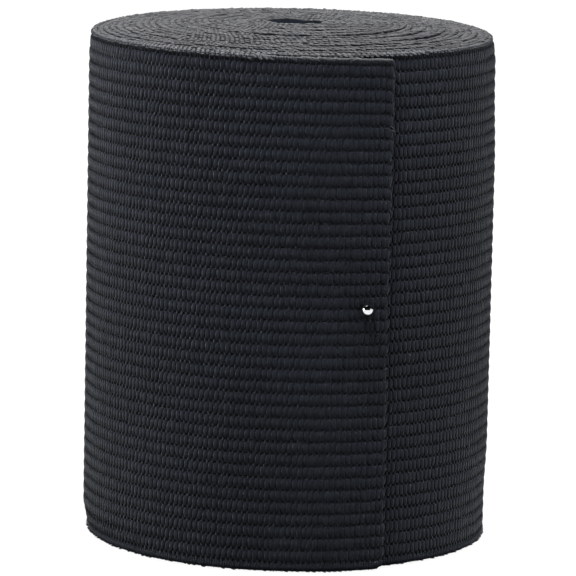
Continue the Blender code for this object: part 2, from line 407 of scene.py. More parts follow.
def seam_faces(rows, last_ribbed, first_plain):
    """Faces that join the last ribbed column to the first plain one."""
    faces = []
    around = len(last_ribbed)
    for index, row in enumerate(rows):
        following = rows[(index + 1) % len(rows)]
        span = [row + step for step in range((following - row) % around + 1)]
        ribbed_side = [int(last_ribbed[place % around]) for place in span]
        plain_side = [int(first_plain[index]), int(first_plain[(index + 1) % len(rows)])]
        faces.append(plain_side + ribbed_side[::-1])
    return faces


def strip_mesh(name):
    """One closed mesh of the whole strip, ribbed on its outer turn and plain where other turns cover it."""
    section = ribbed_section()
    rows = plain_rows(section)
    outer = ribbed_columns()
    ribbed = ribbed_points(section, outer)
    inner = np.linspace(SEAM, TURNS, int((TURNS - SEAM) * PLAIN_COLUMNS_ROUND))[1:]
    plain = strip_places(inner[:, None], section[None, rows, 0], section[None, rows, 1])
    places = np.concatenate([ribbed.reshape(-1, 3), plain.reshape(-1, 3)])
    outer_grid, faces, on_top = stretch_faces(0, len(outer), section[:, 0])
    faces.append(outer_grid[0].tolist())
    on_top.append(False)
    inner_grid, inner_faces, inner_on_top = stretch_faces(outer_grid.size, len(inner), section[rows, 0])
    faces += inner_faces
    faces.append(inner_grid[-1, ::-1].tolist())
    on_top += inner_on_top
    on_top.append(False)
    joining = seam_faces(rows, outer_grid[-1], inner_grid[0])
    faces += joining
    on_top += [False] * len(joining)
    mesh = bpy.data.meshes.new(name)
    mesh.from_pydata(places.tolist(), [], faces)
    mesh.shade_smooth()
    mesh.set_sharp_from_angle(angle=STRIP_SHARP_ANGLE)
    mesh.polygons.foreach_set("material_index", np.array(on_top, dtype=np.int32))
    return mesh


def add_object(name, mesh):
    thing = bpy.data.objects.new(name, mesh)
    bpy.context.scene.collection.objects.link(thing)
    return thing


# Each kind of yarn: its size in metres, how its ends bend down and how blunt they are, and how much it varies
YarnKind = namedtuple(
    "YarnKind", "width length thickness bend blunt_ends lean_spread size_spread darkest lightest sides"
)
# Crest yarns take a light shade range and groove yarns a darker one: painted shade in the grooves.
CREST_YARN = YarnKind(0.00098, 0.0021, 0.00011, 0.00014, 0.0, math.radians(5), 0.07, 0.6, 0.95, 6)
GROOVE_YARN = YarnKind(0.0008, 0.0017, 0.00016, -0.00016, 0.1, math.radians(5), 0.07, 0.1, 0.6, 4)
UPPER_LOOP = YarnKind(0.00086, 0.00174, 0.00028, 0.00014, 0.35, math.radians(13), 0.12, 0.35, 1.0, 5)
LOWER_LOOP = UPPER_LOOP._replace(sides=4)
CUT_YARN = YarnKind(0.0003, 0.0011, 0.00026, 0.0, 0.35, 0.3, 0.2, 0.0, 1.0, 5)
END_STRETCH = 0.2
YARN_RINGS = 4


# Geometry Nodes that lay a short yarn on every point of a carrier
def link_value(tree, value, socket):
    """Feeds a socket from another socket, or sets it to a plain value."""
    if isinstance(value, bpy.types.NodeSocket):
        tree.links.new(value, socket)
    else:
        socket.default_value = value


def find_socket(sockets, name):
    for socket in sockets:
        if socket.name == name and socket.enabled:
            return socket
    raise KeyError(name)


def node(tree, kind, settings=None, **values):
    """Adds a node, sets its options, and feeds the sockets that are named with underscores for spaces."""
    made = tree.nodes.new(kind)
    for option, value in (settings or {}).items():
        setattr(made, option, value)
    for name, value in values.items():
        link_value(tree, value, find_socket(made.inputs, name.replace("_", " ")))
    return made


def math_node(tree, operation, first, second=0.0, third=None):
    made = tree.nodes.new("ShaderNodeMath")
    made.operation = operation
    link_value(tree, first, made.inputs[0])
    link_value(tree, second, made.inputs[1])
    if third is not None:
        link_value(tree, third, made.inputs[2])
    return made.outputs[0]


YARN_INPUTS = (
    ("Yarn width", "NodeSocketFloat", 0.0006),
    ("Yarn length", "NodeSocketFloat", 0.0024),
    ("Yarn thickness", "NodeSocketFloat", 0.00024),
    ("Bend", "NodeSocketFloat", 0.0003),
    ("Blunt ends", "NodeSocketFloat", 0.35),
    ("Lean spread", "NodeSocketFloat", 0.1),
    ("Size spread", "NodeSocketFloat", 0.08),
    ("Darkest", "NodeSocketFloat", 0.0),
    ("Lightest", "NodeSocketFloat", 1.0),
    ("Sides", "NodeSocketInt", 5),
    ("Seed", "NodeSocketInt", 1),
    ("Finish", "NodeSocketMaterial", None),
)


def half_of(tree, size):
    return math_node(tree, "MULTIPLY", size, 0.5)


def yarn_shape(tree, given):
    """One short yarn along Y, full nearly to its ends, which are bent down."""
    ball = node(tree, "GeometryNodeMeshUVSphere", Segments=given["Sides"], Rings=YARN_RINGS, Radius=1.0)
    place = node(tree, "ShaderNodeSeparateXYZ", Vector=node(tree, "GeometryNodeInputPosition").outputs[0])
    squared = math_node(tree, "MULTIPLY", place.outputs["Z"], place.outputs["Z"])
    fuller = math_node(tree, "MULTIPLY_ADD", squared, given["Blunt ends"], 1.0)
    half_width = math_node(tree, "MULTIPLY", half_of(tree, given["Yarn width"]), fuller)
    across = math_node(tree, "MULTIPLY", place.outputs["X"], half_width)
    stretched = math_node(tree, "MULTIPLY_ADD", squared, -END_STRETCH, 1.0 + END_STRETCH)
    half_length = math_node(tree, "MULTIPLY", half_of(tree, given["Yarn length"]), stretched)
    along = math_node(tree, "MULTIPLY", place.outputs["Z"], half_length)
    half_thickness = math_node(tree, "MULTIPLY", half_of(tree, given["Yarn thickness"]), fuller)
    turned_up = math_node(tree, "MULTIPLY", place.outputs["Y"], -1.0)
    raised = math_node(tree, "MULTIPLY", turned_up, half_thickness)
    sag = math_node(tree, "MULTIPLY", squared, given["Bend"])
    height = math_node(tree, "SUBTRACT", raised, sag)
    bent = node(tree, "ShaderNodeCombineXYZ", X=across, Y=along, Z=height)
    # Marks how near each point lies to the yarn's ends, which the finishes darken as painted shade where they
    # dive under the cloth.
    tucked_shade = node(
        tree,
        "GeometryNodeStoreNamedAttribute",
        {"data_type": "FLOAT", "domain": "POINT"},
        Geometry=ball.outputs["Mesh"],
        Name="tucked_shade",
        Value=squared,
    )
    shaped = node(tree, "GeometryNodeSetPosition", Geometry=tucked_shade.outputs[0], Position=bent.outputs[0])
    return node(tree, "GeometryNodeSetShadeSmooth", Geometry=shaped.outputs[0]).outputs[0]


def carried_vector(tree, name):
    made = node(tree, "GeometryNodeInputNamedAttribute", {"data_type": "FLOAT_VECTOR"}, Name=name)
    return find_socket(made.outputs, "Attribute")


def random_number(tree, low, high, seed):
    made = node(tree, "FunctionNodeRandomValue", {"data_type": "FLOAT"}, Min=low, Max=high, Seed=seed)
    return find_socket(made.outputs, "Value")


def laid_yarns_tree():
    """Lays a yarn on each point, along its 'along' and facing its 'facing', each a little different."""
    tree = bpy.data.node_groups.new("laid yarns", "GeometryNodeTree")
    face = tree.interface
    face.new_socket("Geometry", in_out="INPUT", socket_type="NodeSocketGeometry")
    for name, kind, value in YARN_INPUTS:
        socket = face.new_socket(name, in_out="INPUT", socket_type=kind)
        if value is not None:
            socket.default_value = value
    face.new_socket("Geometry", in_out="OUTPUT", socket_type="NodeSocketGeometry")
    given = tree.nodes.new("NodeGroupInput").outputs
    turned = node(
        tree,
        "FunctionNodeAxesToRotation",
        {"primary_axis": "Z", "secondary_axis": "Y"},
        Primary_Axis=carried_vector(tree, "facing"),
        Secondary_Axis=carried_vector(tree, "along"),
    )
    least_lean = math_node(tree, "MULTIPLY", given["Lean spread"], -1.0)
    lean = random_number(tree, least_lean, given["Lean spread"], given["Seed"])
    leaning = node(tree, "FunctionNodeAxisAngleToRotation", Axis=(0.0, 0.0, 1.0), Angle=lean)
    rotation = node(
        tree,
        "FunctionNodeRotateRotation",
        {"rotation_space": "LOCAL"},
        Rotation=turned.outputs[0],
        Rotate_By=leaning.outputs[0],
    )
    next_seed = math_node(tree, "ADD", given["Seed"], 1.0)
    last_seed = math_node(tree, "ADD", given["Seed"], 2.0)
    smaller = math_node(tree, "SUBTRACT", 1.0, given["Size spread"])
    larger = math_node(tree, "ADD", 1.0, given["Size spread"])
    own_size = node(tree, "ShaderNodeVectorMath", {"operation": "SCALE"})
    link_value(tree, carried_vector(tree, "size"), own_size.inputs[0])
    link_value(tree, random_number(tree, smaller, larger, next_seed), find_socket(own_size.inputs, "Scale"))
    laid = node(
        tree,
        "GeometryNodeInstanceOnPoints",
        Points=given["Geometry"],
        Instance=yarn_shape(tree, given),
        Rotation=rotation.outputs[0],
        Scale=own_size.outputs[0],
    )
    shaded = node(
        tree,
        "GeometryNodeStoreNamedAttribute",
        {"data_type": "FLOAT", "domain": "INSTANCE"},
        Geometry=laid.outputs[0],
        Name="shade",
        Value=random_number(tree, given["Darkest"], given["Lightest"], last_seed),
    )
    real = node(tree, "GeometryNodeRealizeInstances", Geometry=shaded.outputs[0])
    finished = node(tree, "GeometryNodeSetMaterial", Geometry=real.outputs[0], Material=given["Finish"])
    result = tree.nodes.new("NodeGroupOutput")
    tree.links.new(finished.outputs[0], result.inputs[0])
    return tree


Carriers = namedtuple("Carriers", "places facing along size")


def lay_yarns(name, tree, carriers, kind, seed, finish):
    """A plain mesh of yarns of one kind, one on each carrier."""
    settings = {
        "Yarn width": kind.width,
        "Yarn length": kind.length,
        "Yarn thickness": kind.thickness,
        "Bend": kind.bend,
        "Blunt ends": kind.blunt_ends,
        "Lean spread": kind.lean_spread,
        "Size spread": kind.size_spread,
        "Darkest": kind.darkest,
        "Lightest": kind.lightest,
        "Sides": kind.sides,
        "Seed": seed,
        "Finish": finish,
    }
    mesh = bpy.data.meshes.new(name + " carriers")
    mesh.from_pydata(carriers.places.tolist(), [], [])
    for attribute in ("facing", "along", "size"):
        layer = mesh.attributes.new(attribute, "FLOAT_VECTOR", "POINT")
        values = np.ascontiguousarray(getattr(carriers, attribute), dtype=np.float32)
        layer.data.foreach_set("vector", values.ravel())
    thing = add_object(name, mesh)
    modifier = thing.modifiers.new("laid yarns", "NODES")
    modifier.node_group = tree
    for item in tree.interface.items_tree:
        if item.item_type == "SOCKET" and item.name in settings:
            modifier[item.identifier] = settings[item.name]
    graph = bpy.context.evaluated_depsgraph_get()
    made = bpy.data.meshes.new_from_object(thing.evaluated_get(graph))
    made.name = name
    thing.modifiers.remove(modifier)
    thing.data = made
    bpy.data.meshes.remove(mesh)
    return thing


LEAN_DRIFT = math.radians(4)
LEAN_WAVES = 6
LEAN_WAVES_ROUND = (4, 60)
LEAN_RATE_UP = 900.0


def lean_field(turns, height):
    """The slow drift of the yarns' lean over the wall, in radians."""
    draws = np.random.default_rng(21)
    total = np.zeros_like(turns)
    for _ in range(LEAN_WAVES):
        rate_round = draws.integers(*LEAN_WAVES_ROUND)
        rate_up = draws.uniform(-LEAN_RATE_UP, LEAN_RATE_UP)
        total = total + np.sin(math.tau * (rate_round * turns + draws.random()) + rate_up * height)
    return LEAN_DRIFT * total / math.sqrt(LEAN_WAVES / 2)


def wall_carriers(turns, heights, depth, lean, size):
    """Carriers of upright yarns on the wall, each leaning by its own angle."""
    places = strip_places(turns, heights, depth)
    facing = outward(angle_at(turns))
    sideways = np.stack([-facing[:, 1], facing[:, 0], np.zeros_like(turns)], axis=-1)
    up = np.broadcast_to([0.0, 0.0, 1.0], facing.shape)
    along = up * np.cos(lean)[:, None] + sideways * np.sin(lean)[:, None]
    return Carriers(places, facing, along, size)


def join_carriers(groups):
    return Carriers(*(np.concatenate(parts) for parts in zip(*groups)))


YARN_DEPTH_ON_CREST = 0.00012
YARN_DEPTH_IN_GROOVE = 0.00033
CREST_LEAN = math.radians(4)
COVERED_SHARE = 0.012
SELVEDGE_FINENESS = 2
UPPER_SELVEDGE_YARN_SHARE = 1.2
UNEVEN_STITCH = 0.05
UNEVEN_HEIGHT = 0.00005
FIRST_STITCH = 0.25

# A row of upright yarns round the wall: its middle height, its length as a share of a rib's, whether it lies
# in a groove, and how many times finer than the ribs its stitches are
Row = namedtuple("Row", "height size in_groove fineness")


def rib_yarn_rows():
    """Every row of upright yarns up the wall."""
    rows = [Row(LOWER_SELVEDGE / 2, LOWER_SELVEDGE / RIB_PITCH, False, SELVEDGE_FINENESS)]
    for rib in range(RIB_COUNT + 1):
        groove = LOWER_SELVEDGE + rib * RIB_PITCH
        rows.append(Row(groove, 1.0, True, 1))
        if rib < RIB_COUNT:
            rows.append(Row(groove + RIB_PITCH / 2, 1.0, False, 1))
    above = ELASTIC_WIDTH - (LOWER_SELVEDGE + RIB_COUNT * RIB_PITCH)
    size = above / RIB_PITCH * UPPER_SELVEDGE_YARN_SHARE
    rows.append(Row(ELASTIC_WIDTH - above / 2, size, False, SELVEDGE_FINENESS))
    return rows


def rib_yarns(row, index):
    """Carriers of one row of yarns round the roll."""
    draws = np.random.default_rng(100 + index)
    shift = 0.5 if row.in_groove else 0.0
    round_count = STITCHES_ROUND * row.fineness
    count = int(round_count * (1.0 + COVERED_SHARE))
    turns = (np.arange(count) + shift + draws.normal(0.0, UNEVEN_STITCH, count)) / round_count
    turns = np.maximum(turns, FIRST_STITCH / STITCHES_ROUND)
    heights = row.height + draws.normal(0.0, UNEVEN_HEIGHT, count)
    lean = lean_field(turns, heights) + (-CREST_LEAN if row.in_groove else CREST_LEAN)
    size = np.stack([np.full(count, 1.0 / row.fineness), np.full(count, row.size), np.ones(count)], axis=-1)
    depth = YARN_DEPTH_IN_GROOVE if row.in_groove else YARN_DEPTH_ON_CREST
    return wall_carriers(turns, heights, depth, lean, size)


RIB_YARN_PIECES = 4
RIB_YARN_SEED = 40


def make_rib_yarns(tree, finish):
    """The upright yarns of the outer turn, in bands from the bottom up."""
    rows = rib_yarn_rows()
    pieces = []
    for band in range(RIB_YARN_PIECES):
        first = len(rows) * band // RIB_YARN_PIECES
        last = len(rows) * (band + 1) // RIB_YARN_PIECES
        for in_groove, label, kind in ((False, "crest", CREST_YARN), (True, "groove", GROOVE_YARN)):
            chosen = []
            for index in range(first, last):
                if rows[index].in_groove == in_groove:
                    chosen.append(rib_yarns(rows[index], index))
            name = f"{label}_yarns_{band + 1}"
            pieces.append(lay_yarns(name, tree, join_carriers(chosen), kind, RIB_YARN_SEED + band, finish))
    return pieces


FIRST_LOOP = 0.0014
LENGTH_STEPS = 20000


def loop_turns():
    """Places along the strip, one selvedge loop apart, from a little past the cut."""
    fine = np.linspace(0.0, TURNS, LENGTH_STEPS)
    middle = strip_places(fine, ELASTIC_WIDTH / 2, CLOTH_THICKNESS / 2)
    travelled = np.concatenate([[0.0], np.cumsum(np.linalg.norm(np.diff(middle, axis=0), axis=1))])
    marks = np.arange(FIRST_LOOP, travelled[-1], SELVEDGE_LOOP_PITCH)
    return np.interp(marks, travelled, fine)


# The selvedge loops, which lie flatter, longer and closer along the lifted end of the strip than elsewhere
LOOP_SEED = 70
LOOP_SLANT = math.radians(33)
LOOP_UNEVEN = 0.00006
FACING_UNEVEN = 0.05
FLAP_SLANT = math.radians(53)
FLAP_TURNS = (0.07, 0.13)
FLAP_LOOP_GROWTH = (-0.3, 0.8, 1.2)
RIM_TILT = 0.45
RIM_TILT_TURNS = (1.05, 1.3)
RIM_SHIFT = 0.0003


def make_selvedge(name, tree, finish, at_top):
    """The loops of yarn that turn round one selvedge, all along the strip."""
    turns = loop_turns()
    count = len(turns)
    draws = np.random.default_rng(7 if at_top else 8)
    side = 1.0 if at_top else -1.0
    height = ELASTIC_WIDTH - YARN_PROUD if at_top else YARN_PROUD
    places = strip_places(turns, height, CLOTH_THICKNESS / 2)
    places[:, 2] += side * (draws.normal(0.0, LOOP_UNEVEN, count) - LOOP_UNEVEN)
    out = outward(angle_at(turns))
    on_flap = np.zeros(count)
    tilt = np.zeros(count)
    if at_top:
        on_flap = 1.0 - smooth_step(turns, *FLAP_TURNS)
        tilt = RIM_TILT * (1.0 - smooth_step(turns, *RIM_TILT_TURNS)) * (1.0 + on_flap)
    places += out * (RIM_SHIFT * tilt)[:, None]
    facing = np.tile([0.0, 0.0, side], (count, 1)) + draws.normal(0.0, FACING_UNEVEN, (count, 3))
    facing += out * tilt[:, None]
    sideways = np.stack([-out[:, 1], out[:, 0], np.zeros(count)], axis=-1)
    slant = LOOP_SLANT + FLAP_SLANT * on_flap
    along = out * np.cos(slant)[:, None] + sideways * np.sin(slant)[:, None]
    along[:, 2] -= tilt * np.cos(slant)
    size = np.stack([1.0 + growth * on_flap for growth in FLAP_LOOP_GROWTH], axis=-1)
    kind = UPPER_LOOP if at_top else LOWER_LOOP
    return lay_yarns(name, tree, Carriers(places, facing, along, size), kind, LOOP_SEED, finish)


CUT_YARNS_PER_RIB = 3
CUT_YARN_SEED = 90
CUT_YARN_SLANT = 1.1
CUT_YARN_DEPTHS = (0.15, 0.85)
CUT_YARN_SIZES = (0.6, 1.3)


def make_cut_yarns(tree, finish):
    """Short ends of yarn that stand out of the cut."""
    draws = np.random.default_rng(31)
    count = RIB_COUNT * CUT_YARNS_PER_RIB
    marks = np.arange(count) + draws.uniform(0.0, 1.0, count)
    heights = LOWER_SELVEDGE + RIB_PITCH * marks / CUT_YARNS_PER_RIB
    turns = np.full(count, 0.0)
    places = strip_places(turns, heights, draws.uniform(*CUT_YARN_DEPTHS, count) * CLOTH_THICKNESS)
    facing = outward(angle_at(turns))
    sideways = np.stack([-facing[:, 1], facing[:, 0], np.zeros(count)], axis=-1)
    slant = draws.uniform(-CUT_YARN_SLANT, CUT_YARN_SLANT, count)
    along = sideways * np.cos(slant)[:, None] + np.array([0.0, 0.0, 1.0]) * np.sin(slant)[:, None]
    size = np.ones((count, 3)) * draws.uniform(*CUT_YARN_SIZES, count)[:, None]
    carriers = Carriers(places, facing, along, size)
    return lay_yarns("cut_yarns", tree, carriers, CUT_YARN, CUT_YARN_SEED, finish)


# The pin
PIN_SIDES = 48
HEAD_STEPS = 24
PIN_SHARP_ANGLE = math.radians(40)


def pin_profile():
    """Radius and height of the pin from the top of its head to its point, the head's middle at height 0."""
    last = math.pi - math.asin(PIN_SHANK_RADIUS / PIN_HEAD_RADIUS)
    profile = []
    for index in range(1, HEAD_STEPS + 1):
        turned = last * index / HEAD_STEPS
        profile.append((PIN_HEAD_RADIUS * math.sin(turned), PIN_HEAD_RADIUS * math.cos(turned)))
    profile.append((PIN_SHANK_RADIUS, -PIN_LENGTH + PIN_POINT_LENGTH))
    return profile


def make_pin():
    """The ball-headed pin, pushed straight towards the winding axis."""
    profile = pin_profile()
    turned = math.tau * np.arange(PIN_SIDES) / PIN_SIDES
    points = [(0.0, 0.0, PIN_HEAD_RADIUS)]
    for radius, height in profile:
        points += [(radius * math.cos(angle), radius * math.sin(angle), height) for angle in turned]
    points.append((0.0, 0.0, -PIN_LENGTH))
    faces = []
    last_ring = 1 + (len(profile) - 1) * PIN_SIDES
    for side in range(PIN_SIDES):
        after = (side + 1) % PIN_SIDES
        faces.append((0, 1 + side, 1 + after))
        for ring in range(len(profile) - 1):
            upper = 1 + ring * PIN_SIDES
            lower = upper + PIN_SIDES
            faces.append((upper + side, lower + side, lower + after, upper + after))
        faces.append((last_ring + side, len(points) - 1, last_ring + after))
    mesh = bpy.data.meshes.new("ball_pin")
    mesh.from_pydata(points, [], faces)
    mesh.shade_smooth()
    mesh.set_sharp_from_angle(angle=PIN_SHARP_ANGLE)
    turns = (END_ANGLE - PIN_ANGLE) / math.tau
    wall = float(wound_radius(np.array(turns)) + end_gap(np.array(turns), PIN_HEIGHT))
    side = Vector(outward(np.array(PIN_ANGLE)))
    middle = Vector(AXIS) + side * (wall + PIN_HEAD_PROUD) + Vector((0.0, 0.0, PIN_HEIGHT))
    mesh.transform(Matrix.Translation(middle) @ side.to_track_quat("Z", "Y").to_matrix().to_4x4())
    return add_object("ball_pin", mesh)


# Effects that more than one finish uses
def shader_group(name, inputs, outputs):
    """An empty node group with these sockets, and its input and output nodes."""
    group = bpy.data.node_groups.new(name, "ShaderNodeTree")
    for label, kind, value in inputs:
        socket = group.interface.new_socket(label, in_out="INPUT", socket_type=kind)
        socket.default_value = value
    for label, kind in outputs:
        group.interface.new_socket(label, in_out="OUTPUT", socket_type=kind)
    return group, group.nodes.new("NodeGroupInput").outputs, group.nodes.new("NodeGroupOutput").inputs


def filament_group():
    """Fine filaments of a yarn: bumps and light streaks, drawn out along the yarn by unequal scales."""
    group, given, result = shader_group(
        "yarn filaments",
        (("Scales", "NodeSocketVector", (1.0, 1.0, 1.0)), ("Detail", "NodeSocketFloat", 3.0)),
        (("Height", "NodeSocketFloat"), ("Streak", "NodeSocketFloat")),
    )
    place = node(group, "ShaderNodeTexCoord")
    scaled = node(group, "ShaderNodeVectorMath", {"operation": "MULTIPLY"})
    link_value(group, place.outputs["Object"], scaled.inputs[0])
    link_value(group, given["Scales"], scaled.inputs[1])
    drawn_out = scaled.outputs[0]
    detail = given["Detail"]
    fine = node(group, "ShaderNodeTexNoise", Vector=drawn_out, Scale=1.0, Detail=detail, Roughness=0.55)
    coarse = node(group, "ShaderNodeTexNoise", Vector=drawn_out, Scale=0.31, Detail=2.0, Roughness=0.5)
    streak = node(group, "ShaderNodeMapRange", Value=coarse.outputs[0], From_Min=0.32, From_Max=0.68)
    link_value(group, fine.outputs[0], result["Height"])
    link_value(group, streak.outputs[0], result["Streak"])
    return group


def lint_group():
    """Specks of dust and lint that have settled on the cloth."""
    group, given, result = shader_group(
        "lint",
        (("Scale", "NodeSocketFloat", 900.0), ("Amount", "NodeSocketFloat", 0.3)),
        (("Mask", "NodeSocketFloat"),),
    )
    place = node(group, "ShaderNodeTexCoord").outputs["Object"]
    specks = node(group, "ShaderNodeTexNoise", Vector=place, Scale=given["Scale"], Detail=1.0)
    drifts = node(group, "ShaderNodeTexNoise", Vector=place, Scale=60.0, Detail=2.0)
    sharp = node(group, "ShaderNodeMapRange", Value=specks.outputs[0], From_Min=0.66, From_Max=0.76)
    where = node(group, "ShaderNodeMapRange", Value=drifts.outputs[0], From_Min=0.42, From_Max=0.62)
    both = math_node(group, "MULTIPLY", sharp.outputs[0], where.outputs[0])
    link_value(group, math_node(group, "MULTIPLY", both, given["Amount"]), result["Mask"])
    return group


SHADE_SHARE = 0.5
DRIFT_SHARE = 0.25
STREAK_SHARE = 0.25
# How far each yarn is darkened towards its ends, where they dive under the cloth: painted shade.
TUCKED_PAINTED_SHADE = 0.5


def dye_group():
    """Slow and small differences in how the yarns took the dye, and painted shade that darkens each yarn
    towards the ends where it dives under the cloth.
    """
    group, given, result = shader_group(
        "uneven dye",
        (
            ("Deep", "NodeSocketColor", (0.01, 0.01, 0.012, 1.0)),
            ("Light", "NodeSocketColor", (0.03, 0.03, 0.035, 1.0)),
            ("Shade", "NodeSocketFloat", 0.5),
            ("Streak", "NodeSocketFloat", 0.5),
            ("Tucked", "NodeSocketFloat", 0.0),
        ),
        (("Color", "NodeSocketColor"),),
    )
    place = node(group, "ShaderNodeTexCoord")
    drift = node(group, "ShaderNodeTexNoise", Vector=place.outputs["Object"], Scale=38.0, Detail=3.0)
    slow = node(group, "ShaderNodeMapRange", Value=drift.outputs[0], From_Min=0.3, From_Max=0.7)
    drifting = math_node(group, "MULTIPLY", slow.outputs[0], DRIFT_SHARE)
    mixed = math_node(group, "MULTIPLY_ADD", given["Shade"], SHADE_SHARE, drifting)
    even_share = math_node(group, "MULTIPLY_ADD", given["Streak"], STREAK_SHARE, mixed)
    after_painted_shade = math_node(group, "MULTIPLY_ADD", given["Tucked"], -TUCKED_PAINTED_SHADE, 1.0)
    share = math_node(group, "MULTIPLY", even_share, after_painted_shade)
    colour = node(
        group,
        "ShaderNodeMix",
        {"data_type": "RGBA"},
        Factor=share,
        A=given["Deep"],
        B=given["Light"],
    )
    link_value(group, find_socket(colour.outputs, "Result"), result["Color"])
    return group


def place_group(tree, group, **values):
    made = tree.nodes.new("ShaderNodeGroup")
    made.node_tree = group
    for name, value in values.items():
        link_value(tree, value, made.inputs[name])
    return made


# Each yarn's finish: its darkest and lightest dye, how many filaments to the metre each way, and its surface
YarnFinish = namedtuple("YarnFinish", "deep light scales rough sheen specular bump lint")
LINT_COLOUR = (0.19, 0.19, 0.2, 1.0)
LINT_SCALE = 1100.0
SHEEN_ROUGHNESS = 0.45
SHEEN_TINT = (0.75, 0.77, 0.8, 1.0)
FILAMENT_RELIEF = 0.00006
MATTER_BETWEEN_FILAMENTS = 0.12
SMOOTHER_ON_FILAMENTS = 0.08

YARN_FINISHES = {
    "rib yarn": YarnFinish(
        deep=(0.002, 0.0024, 0.0036),
        light=(0.0136, 0.0162, 0.0226),
        scales=(9000, 9000, 900),
        rough=0.66,
        sheen=0.06,
        specular=0.1,
        bump=0.5,
        lint=0.06,
    ),
    "ground cloth": YarnFinish(
        deep=(0.003, 0.0036, 0.0052),
        light=(0.0106, 0.0128, 0.0178),
        scales=(5000, 5000, 5000),
        rough=0.85,
        sheen=0.02,
        specular=0.05,
        bump=0.6,
        lint=0.05,
    ),
    "selvedge cloth": YarnFinish(
        deep=(0.005, 0.0052, 0.0057),
        light=(0.011, 0.0113, 0.0121),
        scales=(5000, 5000, 5000),
        rough=0.8,
        sheen=0.08,
        specular=0.12,
        bump=0.6,
        lint=0.3,
    ),
    # The upper loops' yarn is dyed much lighter than the rib yarn though it is the same black yarn: painted
    # light on the roll's top.
    "selvedge yarn painted light": YarnFinish(
        deep=(0.02, 0.0203, 0.0214),
        light=(0.051, 0.0517, 0.054),
        scales=(7000, 7000, 2500),
        rough=0.8,
        sheen=0.04,
        specular=0.1,
        bump=0.5,
        lint=0.3,
    ),
    "cut yarn": YarnFinish(
        deep=(0.008, 0.0088, 0.011),
        light=(0.028, 0.0295, 0.034),
        scales=(6000, 6000, 6000),
        rough=0.8,
        sheen=0.15,
        specular=0.15,
        bump=0.4,
        lint=0.2,
    ),
}


def yarn_material(name, groups, has_shade):
    """A dyed yarn: near black, with pale filaments, uneven dye and a little lint; laid yarns also get painted
    shade towards the ends that dive under the cloth.
    """
    finish = YARN_FINISHES[name]
    filaments, lint, dye = groups
    material = bpy.data.materials.new(name)
    material.use_nodes = True
    tree = material.node_tree
    shader = tree.nodes["Principled BSDF"]
    fibres = place_group(tree, filaments, Scales=finish.scales, Detail=3.0)
    shade = 0.5
    tucked_shade = 0.0
    if has_shade:
        shade = find_socket(node(tree, "ShaderNodeAttribute", {"attribute_name": "shade"}).outputs, "Fac")
        # How near each point lies to its yarn's ends, for painted shade where they dive under the cloth.
        tucked_shade = find_socket(node(tree, "ShaderNodeAttribute", {"attribute_name": "tucked_shade"}).outputs, "Fac")
    dyed = place_group(
        tree,
        dye,
        Deep=(*finish.deep, 1.0),
        Light=(*finish.light, 1.0),
        Shade=shade,
        Streak=fibres.outputs["Streak"],
        Tucked=tucked_shade,
    )
    specks = place_group(tree, lint, Scale=LINT_SCALE, Amount=finish.lint)
    colour = node(
        tree,
        "ShaderNodeMix",
        {"data_type": "RGBA"},
        Factor=specks.outputs["Mask"],
        A=dyed.outputs["Color"],
        B=LINT_COLOUR,
    )
    rough = node(
        tree,
        "ShaderNodeMapRange",
        Value=fibres.outputs["Streak"],
        To_Min=min(1.0, finish.rough + MATTER_BETWEEN_FILAMENTS),
        To_Max=finish.rough - SMOOTHER_ON_FILAMENTS,
    )
    relief = fibres.outputs["Height"]
    bump = node(tree, "ShaderNodeBump", Strength=finish.bump, Distance=FILAMENT_RELIEF, Height=relief)
    tree.links.new(find_socket(colour.outputs, "Result"), shader.inputs["Base Color"])
    tree.links.new(rough.outputs[0], shader.inputs["Roughness"])
    tree.links.new(bump.outputs[0], shader.inputs["Normal"])
    shader.inputs["Specular IOR Level"].default_value = finish.specular
    shader.inputs["Sheen Weight"].default_value = finish.sheen
    shader.inputs["Sheen Roughness"].default_value = SHEEN_ROUGHNESS
    shader.inputs["Sheen Tint"].default_value = SHEEN_TINT
    return material


def steel_material():
    """Bright steel with a few handling smudges."""
    material = bpy.data.materials.new("polished steel")
    material.use_nodes = True
    tree = material.node_tree
    shader = tree.nodes["Principled BSDF"]
    place = node(tree, "ShaderNodeTexCoord")
    smudge = node(tree, "ShaderNodeTexNoise", Vector=place.outputs["Object"], Scale=900.0, Detail=2.0)
    rough = node(tree, "ShaderNodeMapRange", Value=smudge.outputs[0], To_Min=0.03, To_Max=0.08)
    tint = node(
        tree,
        "ShaderNodeMix",
        {"data_type": "RGBA"},
        Factor=smudge.outputs[0],
        A=(0.78, 0.78, 0.80, 1.0),
        B=(0.70, 0.70, 0.71, 1.0),
    )
    tree.links.new(find_socket(tint.outputs, "Result"), shader.inputs["Base Color"])
    tree.links.new(rough.outputs[0], shader.inputs["Roughness"])
    shader.inputs["Metallic"].default_value = 1.0
    return material


# The studio
FLOOR_RADIUS = 3.0
FLOOR_SIDES = 96
FLOOR_COLOUR = (0.05, 0.05, 0.05, 1.0)
FLOOR_GLOW = 0.92
FLOOR_BOUNCE = 0.08


